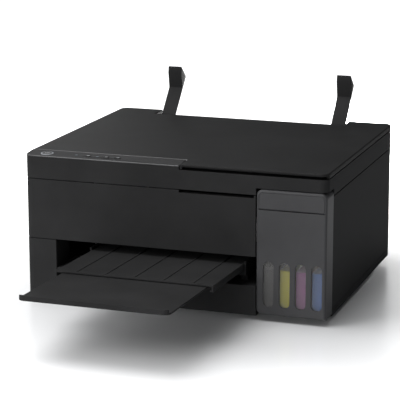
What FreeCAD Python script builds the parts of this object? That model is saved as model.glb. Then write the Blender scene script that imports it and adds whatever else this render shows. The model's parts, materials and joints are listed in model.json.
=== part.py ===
import FreeCAD, Part
import math
import os
import re

import Sketcher
from FreeCAD import Placement, Rotation, Vector

# All sizes are in millimetres. The origin is on the table, under the middle of the case's footprint:
# X runs to the right, Y to the back and Z up, seen from the front of the printer.
DIMENSIONS = {
    # Case
    "case_width": 375, "case_depth": 320, "case_corner": 10, "skin": 2.5,
    "seam": 0.6, "slack": 0.4, "past": 12,
    "foot_high": 5, "foot_radius": 9, "foot_across": 150, "foot_front": 118, "foot_back": 132,
    "pan_top": 14, "case_top": 148.4,
    "opening_left": -148, "opening_right": 103, "opening_low": 41, "opening_high": 75,
    "column_deep": 40, "ledge_deep": 60, "wrap_deep": 28,
    "grip_left": 9, "grip_right": 100, "grip_high": 3.2, "grip_deep": 10,
    "feed_hole_low": 104, "hump_half": 125, "hump_deep": 24, "hump_low": 62, "hump_high": 166,
    "hump_slope": 20,
    # Scanner unit, control panel and lid
    "scanner_low": 149, "scanner_rim": 172.2, "bed_thick": 2.5, "glass_thick": 3,
    "glass_half": 153, "glass_front": -122, "glass_back": 102,
    "panel_low": 175.6, "panel_right": 9, "panel_deep": 25.5, "panel_fall": 2,
    "lid_low": 172.6, "lid_top": 179, "lid_skin": 3, "lid_rim": 4, "lid_round": 1.6,
    "lid_grip_deep": 8, "lid_grip_high": 3.2,
    "slot_half": 129.5, "slot_front": 128,
    "mat_half": 156, "mat_front": -126, "mat_back": 88, "mat_thick": 2.8,
    "knuckle_y": 164.5, "knuckle_radius": 4, "knuckle_long": 7, "scanner_knuckle_x": 136,
    "hinge_pin_radius": 1.5, "pin_fit": 0.05,
    "lid_knuckle_x": 156, "lid_knuckle_radius": 3.5, "lid_hinge_z": 172.4,
    "bar_left": -150, "bar_wide": 18, "bar_front": -124, "bar_back": 100, "bar_low": 153.5,
    "bar_high": 168.6,
    "rail_radius": 3, "rail_y": -20, "rail_z": 157, "rail_half": 160, "post_wide": 6, "post_half": 6,
    # Control panel pieces
    "button_y": -147, "button_low": 174.6, "button_top": 178.4, "button_gap": 0.3,
    "power_x": -163, "power_radius": 6.2, "ring_radius": 7.5, "ring_inner": 6.5, "ring_top": 178.2,
    "small_radius": 3.4, "wifi_x": -110, "mono_x": -87, "colour_x": -72,
    "light_radius": 1.5, "light_first_x": -125, "light_second_x": -98,
    # Ink tank unit
    "tank_left": 104, "tank_front": -162.5, "tank_deep": 29.5, "tank_low": 8, "tank_top": 156.5,
    "tank_round": 3, "tank_corner": 7, "door_corner": 5, "groove_deep": 0.8, "tank_seam": 133,
    "door_left": 107, "door_right": 184.5, "door_top": 153.8,
    "bead_radius": 2, "door_pin_radius": 1, "door_pin_left": 105.2, "door_pin_right": 186.2,
    "window_first": 118.8, "window_pitch": 19.2, "window_wide": 13, "window_low": 18, "window_high": 72.5,
    "pane_deep": 1.6,
    "bottle_wide": 16.8, "bottle_front": -157, "bottle_back": -70, "bottle_low": 12, "bottle_top": 122,
    "bottle_skin": 1.5, "spout_radius": 6.4, "spout_bore": 4.4, "spout_top": 136, "spout_y": -147,
    "ink_level": 61, "cap_radius": 7.6, "cap_top": 143, "plug_radius": 4.2, "plug_low": 126,
    # Paper support, feed plate and edge guides, set out along the lean of the paper
    "lean": 42, "lean_y": 156.6, "lean_z": 179.4,
    "arm_out": 127, "arm_in": 108, "arm_long": 55.2, "arm_under": 30, "arm_skin": 3, "arm_deep": 24,
    "hook_deep": 19.4, "hook_long": 47.8, "hook_foot": 34.7, "tie_top": -8,
    "plate_half": 115, "plate_back": 8, "plate_thick": 3, "plate_low": -106, "plate_high": -18,
    "guide_x": 112, "guide_thick": 3, "guide_foot": 22, "guide_deep": 8.5, "guide_low": -70,
    "guide_high": -30,
    "pickup_along": -86, "pickup_radius": 9, "pickup_half": 30, "pickup_shaft": 3,
    "pickup_shaft_half": 64,
    # Output tray, set out along its own slope
    "tilt": 2, "tray_y": -143, "tray_z": 65, "tray_left": -103, "tray_right": 87, "tray_front": -122,
    "tray_back": 28, "tray_thick": 2, "tray_wall": 8, "tray_lip": 4,
    "leaf_left": -95, "leaf_right": 79, "leaf_front": -242, "leaf_back": -102, "leaf_drop": 2.6,
    "leaf_thick": 2, "leaf_edge": 4, "leaf_edge_top": 1.2,
    "track_wide": 2.6, "track_front": -13, "track_back": 138, "track_low": -14, "track_high": 3,
    "leg_front": -140, "leg_back": -110,
    # Printing mechanism
    "frame_left": -150, "frame_right": 168, "frame_skin": 2, "frame_front": -30, "frame_back": 72,
    "frame_low": 30, "frame_high": 140, "gate_half": 118, "gate_low": 74, "gate_high": 112,
    "shaft_y": 60, "shaft_z": 118, "shaft_radius": 4,
    "carriage_left": 97, "carriage_wide": 68, "carriage_front": 8, "carriage_back": 66,
    "carriage_low": 92, "carriage_high": 134,
    "head_inset": 8, "head_front": 14, "head_back": 50, "head_low": 88,
    "roller_z": 80, "feed_y": 60, "feed_radius": 7, "eject_y": -8, "eject_radius": 6,
    "axle_radius": 4, "roll_left": -130, "roll_right": 100,
    "wheel_radius": 9, "wheel_left": -147, "wheel_wide": 4, "belt_gap": 0.3, "belt_thick": 1.2,
    "platen_left": -125, "platen_right": 100, "platen_front": 6, "platen_back": 50, "platen_low": 72,
    "platen_top": 82, "rib_high": 3, "rib_wide": 3, "rib_pitch": 25,
    "cap_left": 104, "cap_right": 160, "cap_front": 10, "cap_back": 54, "cap_low": 50, "cap_high": 84,
    "pulley_radius": 6, "pulley_front": 67.4, "pulley_back": 70.8, "pulley_z": 126,
    "motor_x": -138, "idler_x": 158, "motor_radius": 13, "motor_long": 24, "spindle_radius": 1.5,
    "feed_motor_y": 26, "feed_motor_z": 50,
    # Electronics and service pieces in the base
    "board_left": -170, "board_right": -40, "board_front": 84, "board_back": 150, "board_z": 18,
    "board_thick": 2, "supply_left": 30, "supply_right": 120, "supply_front": 90, "supply_high": 50,
    "inlet_left": 131, "inlet_right": 157, "inlet_low": 24, "inlet_high": 42, "socket_front": 140,
    "socket_proud": 0.6, "usb_left": -66, "usb_right": -52, "usb_low": 20, "usb_high": 32,
    "waste_left": 108, "waste_right": 164, "waste_front": -40, "waste_back": 60, "waste_high": 44,
    "screw_radius": 3.5, "screw_proud": 1.8,
}

doc = FreeCAD.newDocument("InkjetPrinter")
sheet = doc.addObject("Spreadsheet::Sheet", "Dims")
for row, (alias, size) in enumerate(DIMENSIONS.items(), start=1):
    sheet.set(f"A{row}", str(size))
    sheet.setAlias(f"A{row}", alias)
doc.recompute()

ACROSS = ("-case_width/2", "case_width/2")
ALONG = ("-case_depth/2", "case_depth/2")
FRONT = "-case_depth/2"
BACK = "case_depth/2"
TURNS = {
    "x": Rotation(Vector(0, 1, 0), 90),
    "y": Rotation(Vector(1, 0, 0), -90),
    "z": Rotation(),
}
pieces = []


def qualified(text):
    """An expression with each alias written as a cell of the sheet."""
    return re.sub(r"[a-z_]+", lambda word: f"Dims.{word[0]}" if word[0] in DIMENSIONS else word[0],
                  str(text))


def number(text):
    """What an expression of the sheet's aliases comes to."""
    return float(sheet.evalExpression(qualified(text)))


def bind(item, size, text):
    item.setExpression(size, qualified(text))


def grown(span, by):
    """A span made longer by an amount at both ends."""
    return (f"{span[0]} - ({by})", f"{span[1]} + ({by})")


def block(name, x, y, z):
    """A box between a low and a high value on each axis."""
    item = doc.addObject("Part::Box", name)
    for side, axis, (low, high) in zip(("Length", "Width", "Height"), "xyz", (x, y, z)):
        bind(item, side, f"({high}) - ({low})")
        bind(item, f"Placement.Base.{axis}", low)
    return item


def rod(name, axis, centre, radius, span):
    """A round bar along an axis, with its centre on the other two axes."""
    item = doc.addObject("Part::Cylinder", name)
    item.Placement = Placement(Vector(), TURNS[axis])
    bind(item, "Radius", radius)
    bind(item, "Height", f"({span[1]}) - ({span[0]})")
    bind(item, f"Placement.Base.{axis}", span[0])
    for other, place in zip([letter for letter in "xyz" if letter != axis], centre):
        bind(item, f"Placement.Base.{other}", place)
    return item


def sketch_on(body, name, plane_role, offset):
    """A new sketch on one of a body's own planes, moved along the plane's normal."""
    plane = next(plane for plane in body.Origin.OriginFeatures if plane.Role == plane_role)
    sketch = body.newObject("Sketcher::SketchObject", name + "_sketch")
    sketch.AttachmentSupport = [(plane, "")]
    sketch.MapMode = "FlatFace"
    bind(sketch, "AttachmentOffset.Base.z", offset)
    return sketch


def hold(sketch, kind, *places):
    """A driving dimension of a sketch, bound to an expression."""
    *where, text = places
    index = sketch.addConstraint(Sketcher.Constraint(kind, *where, number(text)))
    bind(sketch, f"Constraints[{index}]", text)


def padded(body, sketch, name, span):
    pad = body.newObject("PartDesign::Pad", name + "_pad")
    pad.Profile = sketch
    bind(pad, "Length", f"({span[1]}) - ({span[0]})")
    return body


def slab(name, x, y, z, corner):
    """A plate with rounded upright corners, padded up from a sketch."""
    body = doc.addObject("PartDesign::Body", name)
    sketch = sketch_on(body, name, "XY_Plane", z[0])
    (left, right), (front, back) = [[number(end) for end in span] for span in (x, y)]
    turn = number(corner)
    ends = [(left, front), (right, front), (right, back), (left, back)]
    ways = [(1, 0), (0, 1), (-1, 0), (0, -1)]
    for index in range(4):
        start, stop, way = Vector(*ends[index]), Vector(*ends[(index + 1) % 4]), Vector(*ways[index])
        inward = Vector(*ways[(index + 1) % 4])
        sketch.addGeometry(Part.LineSegment(start + way * turn, stop - way * turn))
        centre = stop - way * turn + inward * turn
        angle = (index - 1) * math.pi / 2
        circle = Part.Circle(centre, Vector(0, 0, 1), turn)
        sketch.addGeometry(Part.ArcOfCircle(circle, angle, angle + math.pi / 2))
    for index in range(8):
        sketch.addConstraint(Sketcher.Constraint("Tangent", index, 2, (index + 1) % 8, 1))
    for index, kind in ((0, "Horizontal"), (2, "Vertical"), (4, "Horizontal"), (6, "Vertical")):
        sketch.addConstraint(Sketcher.Constraint(kind, index))
    for index in (3, 5, 7):
        sketch.addConstraint(Sketcher.Constraint("Equal", 1, index))
    hold(sketch, "Radius", 1, corner)
    hold(sketch, "DistanceY", -1, 1, 0, 1, y[0])
    hold(sketch, "DistanceX", -1, 1, 2, 1, x[1])
    hold(sketch, "DistanceY", -1, 1, 4, 1, y[1])
    hold(sketch, "DistanceX", -1, 1, 6, 1, x[0])
    return padded(body, sketch, name, z)


def prism(name, points, x):
    """An outline in the Y-Z plane, padded along X."""
    body = doc.addObject("PartDesign::Body", name)
    sketch = sketch_on(body, name, "YZ_Plane", x[0])
    places = [Vector(number(y), number(z)) for y, z in points]
    count = len(points)
    for index in range(count):
        sketch.addGeometry(Part.LineSegment(places[index], places[(index + 1) % count]))
    for index in range(count):
        sketch.addConstraint(Sketcher.Constraint("Coincident", index, 2, (index + 1) % count, 1))
    for index, (y, z) in enumerate(points):
        hold(sketch, "DistanceX", -1, 1, index, 1, y)
        hold(sketch, "DistanceY", -1, 1, index, 1, z)
    return padded(body, sketch, name, x)


def plus(name, *parts):
    """Several solids joined into one."""
    item = doc.addObject("Part::MultiFuse", name)
    item.Shapes = list(parts)
    item.Refine = True
    return item


def minus(name, base, *tools):
    """A solid with others cut out of it."""
    item = doc.addObject("Part::Cut", name)
    item.Base = base
    item.Tool = tools[0] if len(tools) == 1 else plus(name + "_tools", *tools)
    item.Refine = True
    return item


def both(name, one, other):
    """What two solids share."""
    item = doc.addObject("Part::Common", name)
    item.Base, item.Tool = one, other
    return item


def together(name, *parts):
    """Separate solids kept as one group."""
    item = doc.addObject("Part::Compound", name)
    item.Links = list(parts)
    return item


def softened(name, base, radius, wanted):
    """A solid with the edges that a test picks out rounded over."""
    doc.recompute()
    item = doc.addObject("Part::Fillet", name)
    item.Base = base
    turn = number(radius)
    item.Edges = [(n, turn, turn) for n, edge in enumerate(base.Shape.Edges, start=1) if wanted(edge)]
    return item


def leaning(item, y, z, angle):
    """Sets a solid, built upright about the origin, at a place and leans it back about X."""
    item.Placement = Placement(Vector(), Rotation(Vector(1, 0, 0), -1))
    bind(item, "Placement.Rotation.Angle", f"-({angle})")
    bind(item, "Placement.Base.y", y)
    bind(item, "Placement.Base.z", z)
    return item


def piece(item):
    """Adds a finished sub-part to the list that is written out."""
    pieces.append(item)
    return item


def base_pan():
    """The floor of the printer, with a low rim and the ledge under the paper exit."""
    outer = slab("pan_outer", ACROSS, ALONG, ("foot_high", "pan_top"), "case_corner")
    inside = slab(
        "pan_inside", grown(ACROSS, "-skin"), grown(ALONG, "-skin"),
        ("foot_high + skin", "pan_top + past"), "case_corner - skin")
    bay = block("pan_bay", ("tank_left - seam", "case_width"),
                ("-case_depth", "tank_front + tank_deep + seam"),
                ("-past", "case_top"))
    shell = minus("pan_shell", outer, inside, bay)
    ledge_x = ("opening_left + seam", "opening_right")
    face = block("ledge_face", ledge_x, (FRONT, f"{FRONT} + skin"), ("foot_high + skin", "opening_low"))
    shelf = block("ledge_shelf", ledge_x, (FRONT, f"{FRONT} + ledge_deep"),
                  ("opening_low - skin", "opening_low"))
    piece(plus("base_pan", shell, face, shelf))


def rubber_feet():
    """Four round rubber feet under the pan."""
    places = [(x, y) for x in ("-foot_across", "foot_across") for y in ("-foot_front", "foot_back")]
    feet = [rod(f"foot_{n}", "z", place, "foot_radius", ("0", "foot_high"))
            for n, place in enumerate(places)]
    piece(together("rubber_feet", *feet))


def case_shells():
    """The left, right, rear and front covers, all cut from one thin ring that is round at its corners."""
    tall = ("pan_top", "case_top")
    outer = slab("ring_outer", ACROSS, ALONG, tall, "case_corner")
    inside = slab("ring_inside", grown(ACROSS, "-skin"), grown(ALONG, "-skin"), grown(tall, "past"),
                  "case_corner - skin")
    ring = minus("case_ring", outer, inside)
    everywhere = ("-case_width", "case_width")
    over = ("0", "case_top + past")
    side_edge = "case_width/2 - case_corner"

    middle = block("left_middle", (f"-({side_edge})", "case_width"),
                   (f"{FRONT} + skin + slack", "case_depth"), over)
    exit_side = block("left_exit", ("opening_left", "case_width"), ("-case_depth", "case_depth"), over)
    wrap = block("left_wrap", ("-case_width", "case_width"), ("-case_depth", f"{FRONT} + wrap_deep"),
                 ("opening_high", "case_top + past"))
    left_wall = minus("left_wall", ring, middle, exit_side, wrap)
    column = block("column_return", ("opening_left - skin", "opening_left"),
                   (FRONT, f"{FRONT} + column_deep"),
                   ("pan_top", "opening_high"))
    piece(plus("left_side_cover", left_wall, column))

    rest = block("right_rest", ("-case_width", side_edge), ("-case_depth", "case_depth"), over)
    bay = block("right_bay", everywhere, ("-case_depth", "tank_front + tank_deep + seam"), over)
    piece(minus("right_side_cover", ring, rest, bay))

    strip = block("rear_strip", (f"-({side_edge}) + slack", f"{side_edge} - slack"),
                  (f"{BACK} - skin - slack", "case_depth"), over)
    wall = both("rear_wall", ring, strip)
    feed = block("rear_feed_hole", grown(("-hump_half", "hump_half"), "-skin"), ("0", "case_depth"),
                 ("feed_hole_low", "case_top + past"))
    inlet = block("rear_inlet_hole", ("inlet_left", "inlet_right"), ("0", "case_depth"),
                  ("inlet_low", "inlet_high"))
    usb = block("rear_usb_hole", ("usb_left", "usb_right"), ("0", "case_depth"), ("usb_low", "usb_high"))
    piece(minus("rear_panel", wall, feed, inlet, usb))

    reach = block("front_reach", ("-case_width", "opening_right - slack"),
                  ("-case_depth", f"{FRONT} + wrap_deep - seam"),
                  ("opening_high + seam", "case_top + past"))
    front_wall = both("front_wall", ring, reach)
    grip_floor = "case_top - grip_high"
    grip = block("front_grip", ("grip_left", "grip_right"), ("-case_depth", f"{FRONT} + grip_deep"),
                 (grip_floor, "case_top + past"))
    shelf = block("front_shelf", ("grip_left - skin", "opening_right - slack"),
                  (f"{FRONT} + skin", f"{FRONT} + grip_deep"), (f"{grip_floor} - skin", grip_floor))
    flange = block("front_flange", ("opening_left", "opening_right - slack"),
                   (f"{FRONT} + skin", f"{FRONT} + wrap_deep - column_deep/4"),
                   ("opening_high + seam", "opening_high + seam + skin"))
    piece(plus("front_cover", minus("front_notched", front_wall, grip), shelf, flange))


def rear_feed_cover():
    """The hump on the back that houses the paper path, open towards the case and at its top."""
    def outline(inset):
        back = f"{BACK} + hump_deep - {inset}"
        low = f"hump_low + {inset}"
        return [(BACK if inset == "0" else f"{BACK} - past", low), (f"{back} - hump_slope", low),
                (back, f"{low} + hump_slope"),
                (back, "hump_high" if inset == "0" else "hump_high + past"),
                (BACK if inset == "0" else f"{BACK} - past",
                 "hump_high" if inset == "0" else "hump_high + past")]
    wide = ("-hump_half", "hump_half")
    shell = prism("hump_shell", outline("0"), wide)
    hollow = prism("hump_hollow", outline("skin"), grown(wide, "-skin"))
    piece(minus("rear_feed_cover", shell, hollow))


def rear_sockets():
    """The mains inlet and the data socket, let into the rear panel."""
    proud = f"{BACK} + socket_proud"
    inlet = block("inlet_shell", ("inlet_left", "inlet_right"), ("socket_front", proud),
                  ("inlet_low", "inlet_high"))
    well = block("inlet_well", grown(("inlet_left", "inlet_right"), "-skin*2"),
                 (f"{proud} - past", "case_depth"),
                 grown(("inlet_low", "inlet_high"), "-skin*2"))
    middle = "(inlet_low + inlet_high)/2"
    pins = [rod(f"inlet_pin_{n}", "y", (f"(inlet_left + inlet_right)/2 + {side}*skin*2", middle),
                "spindle_radius",
                (f"{proud} - past", f"{proud} - skin")) for n, side in enumerate((-1, 1))]
    inlet_part = plus("power_inlet", minus("inlet_cut", inlet, well), *pins)
    usb = block("usb_shell", ("usb_left", "usb_right"), ("socket_front", proud), ("usb_low", "usb_high"))
    mouth = block("usb_mouth", grown(("usb_left", "usb_right"), "-spindle_radius"),
                  (f"{proud} - past", "case_depth"),
                  grown(("usb_low", "usb_high"), "-spindle_radius"))
    tongue = block("usb_tongue", grown(("usb_left", "usb_right"), "-skin*2"),
                   (f"{proud} - past", f"{proud} - skin"),
                   grown(("usb_low", "usb_high"), "-skin*1.6"))
    piece(together("rear_sockets", inlet_part, plus("data_socket", minus("usb_cut", usb, mouth), tongue)))


def case_screws():
    """Pan-head screws that hold the rear panel."""
    side = "case_width/2 - case_corner - screw_radius*3"
    places = [(f"-({side})", "pan_top*2"), (side, "pan_top*4"), (f"-({side})", "case_top - pan_top*2"),
              (side, "case_top - pan_top*2"), ("0", "pan_top*2")]
    heads = []
    for n, place in enumerate(places):
        head = rod(f"screw_head_{n}", "y", place, "screw_radius", (BACK, f"{BACK} + screw_proud"))
        cross = [block(f"screw_slot_{n}_{way}", grown((place[0], place[0]), wide),
                       (f"{BACK} + screw_proud/2", "case_depth"),
                       grown((place[1], place[1]), high))
                 for way, wide, high in (("across", "screw_radius*0.6", "screw_radius*0.14"),
                                         ("up", "screw_radius*0.14", "screw_radius*0.6"))]
        heads.append(minus(f"screw_{n}", head, *cross))
    piece(together("case_screws", *heads))


def exit_frame():
    """The guide under the paper exit that the output tray slides in, on two legs."""
    floor = block("track_floor", ("tray_left - track_wide - slack", "tray_right + track_wide + slack"),
                  ("track_front", "track_back"), ("track_low", "track_low + tray_thick"))
    tracks = [
        block(f"track_{side}", span, ("track_front", "track_back"), ("track_low", "track_high"))
        for side, span in (("left", ("tray_left - track_wide - slack", "tray_left - slack")),
                           ("right", ("tray_right + slack", "tray_right + track_wide + slack")))]
    sills = [
        block(f"sill_{side}", span, ("track_front", "track_back"), ("track_low", "-tray_wall - slack"))
        for side, span in (("left", ("tray_left - slack", "tray_left + tray_lip")),
                           ("right", ("tray_right - tray_lip", "tray_right + slack")))]
    guide = leaning(plus("tray_guide", floor, *tracks, *sills), "tray_y", "tray_z", "tilt")
    legs = [block(f"guide_leg_{side}", span, ("leg_front", "leg_back"),
                  ("opening_low", "tray_z + track_low + tray_thick"))
            for side, span in (("left", ("tray_left", "tray_left + tray_wall")),
                               ("right", ("tray_right - tray_wall", "tray_right")))]
    piece(plus("exit_frame", guide, *legs))


def output_tray():
    """The sliding tray and the leaf that draws out from under it."""
    plate = block("tray_plate", ("tray_left", "tray_right"), ("tray_front", "tray_back"),
                  ("-tray_thick", "0"))
    parts = [plate]
    for side, wall, lip in (("left", ("tray_left", "tray_left + tray_thick"),
                             ("tray_left", "tray_left + tray_lip")),
                            ("right", ("tray_right - tray_thick", "tray_right"),
                             ("tray_right - tray_lip", "tray_right"))):
        parts.append(block(f"tray_wall_{side}", wall, ("tray_front", "tray_back"), ("-tray_wall", "0")))
        parts.append(block(f"tray_lip_{side}", lip, ("tray_front", "tray_back"),
                           ("-tray_wall", "-tray_wall + tray_thick")))
    piece(leaning(plus("output_tray", *parts), "tray_y", "tray_z", "tilt"))

    leaf_top = "-leaf_drop"
    leaf = block("leaf_plate", ("leaf_left", "leaf_right"), ("leaf_front", "leaf_back"),
                 (f"{leaf_top} - leaf_thick", leaf_top))
    edge = block("leaf_lip", ("leaf_left", "leaf_right"), ("leaf_front", "leaf_front + leaf_edge"),
                 (f"{leaf_top} - leaf_thick", "leaf_edge_top"))
    joined = softened("leaf_rounded", plus("leaf_joined", leaf, edge), "leaf_edge*2",
                      lambda line: abs(line.Vertexes[0].Y - number("leaf_front")) < 0.01
                      and abs(line.Vertexes[0].Z - line.Vertexes[-1].Z) > 1)
    piece(leaning(together("tray_extension", joined), "tray_y", "tray_z", "tilt"))


def paper_feed():
    """The raised paper support, its feed plate, the two edge guides and the pick-up roller."""
    def lean(item):
        return leaning(item, "lean_y", "lean_z", "lean")

    arm = [("0", "-arm_under"), ("0", "arm_long"), ("-arm_deep", "arm_long"), ("-hook_deep", "hook_long"),
           ("-arm_skin", "hook_foot"), ("-arm_skin", "-arm_under")]
    arms = [prism("arm_left", arm, ("-arm_out", "-arm_in")),
            prism("arm_right", arm, ("arm_in", "arm_out"))]
    tie = block("arm_tie", ("-arm_in", "arm_in"), ("-arm_skin", "0"), ("-arm_under", "tie_top"))
    piece(lean(plus("paper_support", tie, *arms)))

    plate_front = "-plate_back - plate_thick"
    flat = block("feed_sheet", ("-plate_half", "plate_half"), (plate_front, "-plate_back"),
                 ("plate_low", "plate_high"))
    piece(lean(together("feed_plate", flat)))

    front = f"{plate_front} - slack"
    for side, wall, foot in (("left", ("-guide_x", "-guide_x + guide_thick"),
                              ("-guide_x", "-guide_x + guide_foot")),
                             ("right", ("guide_x - guide_thick", "guide_x"),
                              ("guide_x - guide_foot", "guide_x"))):
        fence = block(f"guide_fence_{side}", wall, (f"{front} - guide_deep", front),
                      ("guide_low", "guide_high"))
        shoe = block(f"guide_shoe_{side}", foot, (f"{front} - guide_thick/2", front),
                     ("guide_low", "guide_high"))
        piece(lean(plus(f"edge_guide_{side}", fence, shoe)))

    centre = (f"{front} - pickup_radius", "pickup_along")
    roll = rod("pickup_roll", "x", centre, "pickup_radius", ("-pickup_half", "pickup_half"))
    shaft = rod("pickup_axle", "x", centre, "pickup_shaft", ("-pickup_shaft_half", "pickup_shaft_half"))
    piece(lean(plus("pickup_roller", roll, shaft)))


def pickup_place():
    """Where the pick-up roller's axis is, in the printer's own Y and Z."""
    outward = "(plate_back + plate_thick + slack + pickup_radius)"
    return (f"lean_y + pickup_along*sin(lean) - {outward}*cos(lean)",
            f"lean_z + pickup_along*cos(lean) + {outward}*sin(lean)")


def chassis_frame():
    """The bent steel frame: a rear wall with a paper gate, two cheeks and the pick-up brackets."""
    tall = ("frame_low", "frame_high")
    rear = block("frame_rear", ("frame_left - frame_skin", "frame_right + frame_skin"),
                 ("frame_back", "frame_back + frame_skin"), tall)
    cheeks = [block(f"frame_cheek_{side}", span, ("frame_front", "frame_back"), tall)
              for side, span in (("left", ("frame_left - frame_skin", "frame_left")),
                                 ("right", ("frame_right", "frame_right + frame_skin")))]
    roller_y, roller_z = pickup_place()
    ears = [block(f"frame_ear_{side}", span, ("frame_back", f"{roller_y} + pickup_shaft*1.5"),
                  (f"{roller_z} - pickup_shaft*1.5", f"{roller_z} + pickup_radius"))
            for side, span in (("left",
                                ("-pickup_shaft_half + frame_skin", "-pickup_shaft_half + frame_skin*2")),
                               ("right", ("pickup_shaft_half - frame_skin*2",
                                          "pickup_shaft_half - frame_skin")))]
    gate = block("frame_gate", ("-gate_half", "gate_half"), ("frame_back - past", "frame_back + past"),
                 ("gate_low", "gate_high"))
    ends = ("frame_left - past", "frame_right + past")
    holes = [rod(f"frame_hole_{n}", "x", centre, f"{radius} + pin_fit", ends)
             for n, (centre, radius) in enumerate(((("feed_y", "roller_z"), "axle_radius"),
                                                   (("eject_y", "roller_z"), "axle_radius")))]
    pickup = rod("frame_hole_pickup", "x", (roller_y, roller_z), "pickup_shaft + pin_fit",
                 ("-pickup_shaft_half - past", "pickup_shaft_half + past"))
    spindles = [rod(f"frame_hole_spindle_{n}", "y", (x, "pulley_z"), "spindle_radius + pin_fit",
                    ("frame_back - past", "frame_back + past"))
                    for n, x in enumerate(("motor_x", "idler_x"))]
    body = minus("frame_open", plus("frame_walls", rear, *cheeks), gate)
    piece(minus("chassis_frame", plus("frame_whole", body, *ears), *holes, pickup, *spindles))


def print_carriage():
    """The carriage that carries the print head along its shaft, and the belt and pulleys that draw it."""
    piece(rod("carriage_shaft", "x", ("shaft_y", "shaft_z"), "shaft_radius",
              ("frame_left", "frame_right")))
    wide = ("carriage_left", "carriage_left + carriage_wide")
    shell = block("carriage_block", wide, ("carriage_front", "carriage_back"),
                  ("carriage_low", "carriage_high"))
    rounded = softened("carriage_soft", shell, "tank_round",
                       lambda edge: abs(edge.Vertexes[0].Z - edge.Vertexes[-1].Z) > 1)
    bore = rod("carriage_bore", "x", ("shaft_y", "shaft_z"), "shaft_radius + pin_fit",
               grown(wide, "past"))
    piece(minus("print_carriage", rounded, bore))
    head = block("head_block", grown(wide, "-head_inset"), ("head_front", "head_back"),
                 ("head_low", "carriage_low"))
    piece(softened("print_head", head, "bottle_skin",
                   lambda edge: abs(edge.Vertexes[0].Z - edge.Vertexes[-1].Z) > 1))

    deep = ("pulley_front", "pulley_back")
    for name, x in (("motor_pulley", "motor_x"), ("idler_pulley", "idler_x")):
        wheel = rod(f"{name}_wheel", "y", (x, "pulley_z"), "pulley_radius", deep)
        spindle = rod(f"{name}_spindle", "y", (x, "pulley_z"), "spindle_radius",
                      ("pulley_front", "frame_back + frame_skin - slack"))
        piece(plus(name, wheel, spindle))

    def loop(name, radius):
        ends = [rod(f"{name}_{x}", "y", (x, "pulley_z"), radius, deep) for x in ("motor_x", "idler_x")]
        run = block(f"{name}_run", ("motor_x", "idler_x"), deep,
                    (f"pulley_z - ({radius})", f"pulley_z + {radius}"))
        return plus(name, *ends, run)
    inner = "pulley_radius + belt_gap"
    piece(minus("carriage_belt", loop("belt_outer", f"{inner} + belt_thick"), loop("belt_inner", inner)))


def paper_rollers():
    """The feed and eject rollers on their axles, the belt that turns them together, and the platen."""
    for name, y, radius in (("feed_roller", "feed_y", "feed_radius"),
                            ("eject_roller", "eject_y", "eject_radius")):
        axle = rod(f"{name}_axle", "x", (y, "roller_z"), "axle_radius",
                   ("frame_left - frame_skin", "frame_right + frame_skin"))
        wheel = rod(f"{name}_wheel", "x", (y, "roller_z"), "wheel_radius",
                    ("wheel_left", "wheel_left + wheel_wide"))
        rolls = [rod(f"{name}_roll_{n}", "x", (y, "roller_z"), radius,
                     (f"roll_left + rib_pitch*{n}*2", f"roll_left + rib_pitch*({n}*2 + 1)"))
                     for n in range(5)]
        piece(plus(name, axle, wheel, *rolls))

    def loop(name, radius):
        span = ("wheel_left", "wheel_left + wheel_wide")
        ends = [rod(f"{name}_{y}", "x", (y, "roller_z"), radius, span) for y in ("feed_y", "eject_y")]
        run = block(f"{name}_run", span, ("eject_y", "feed_y"),
                    (f"roller_z - ({radius})", f"roller_z + {radius}"))
        return plus(name, *ends, run)
    inner = "wheel_radius + belt_gap"
    piece(minus("transport_belt", loop("drive_outer", f"{inner} + belt_thick"),
                loop("drive_inner", inner)))

    bed = block("platen_bed", ("platen_left", "platen_right"), ("platen_front", "platen_back"),
                ("platen_low", "platen_top"))
    ribs = [block(f"platen_rib_{n}",
                  (f"platen_left + rib_pitch*{n} + rib_wide",
                   f"platen_left + rib_pitch*{n} + rib_wide*2"),
                  ("platen_front", "platen_back"), ("platen_top", "platen_top + rib_high"))
                  for n in range(9)]
    piece(plus("platen", bed, *ribs))


def service_pieces():
    """The capping station, waste-ink box, motors, main board and power supply inside the base."""
    station = block("station_block", ("cap_left", "cap_right"), ("cap_front", "cap_back"),
                    ("cap_low", "cap_high"))
    well = block("station_well", grown(("cap_left", "cap_right"), "-head_inset"),
                 grown(("cap_front", "cap_back"), "-head_inset"),
                 ("cap_high - rib_high", "cap_high + past"))
    piece(minus("capping_station", station, well))
    piece(block("waste_ink_box", ("waste_left", "waste_right"), ("waste_front", "waste_back"),
                ("foot_high + skin", "waste_high")))
    carriage = rod("carriage_motor_can", "y", ("motor_x", "pulley_z"), "motor_radius",
                   ("frame_back + frame_skin", "frame_back + frame_skin + motor_long"))
    feed = rod("feed_motor_can", "x", ("feed_motor_y", "feed_motor_z"), "motor_radius",
               ("frame_left - frame_skin - motor_long", "frame_left - frame_skin"))
    piece(together("drive_motors", carriage, feed))
    top = "board_z + board_thick"
    sheet_board = block("board_sheet", ("board_left", "board_right"), ("board_front", "board_back"),
                        ("board_z", top))
    posts = [rod(f"board_post_{n}", "z", place, "bead_radius", ("foot_high + skin", "board_z"))
             for n, place in enumerate((x, y)
                                       for x in ("board_left + past",
                                                 "board_right - past - usb_right + usb_left")
                                       for y in ("board_front + past", "board_back - past*2"))]
    chips = [block(f"board_chip_{n}", (f"board_left + past*{n}", f"board_left + past*({n} + 0.8)"),
                   ("board_front + past", "board_front + past*2"), (top, f"{top} + skin"))
                   for n in (1, 3, 5, 6)]
    piece(plus("main_board", sheet_board, *posts, *chips))
    supply = block("supply_box", ("supply_left", "supply_right"), ("supply_front", "board_back"),
                   ("foot_high + skin", "supply_high"))
    piece(softened("power_supply", supply, "bead_radius",
                   lambda edge: edge.Vertexes[0].Z > number("supply_high") - 1
                   and edge.Vertexes[-1].Z > number("supply_high") - 1))


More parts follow.
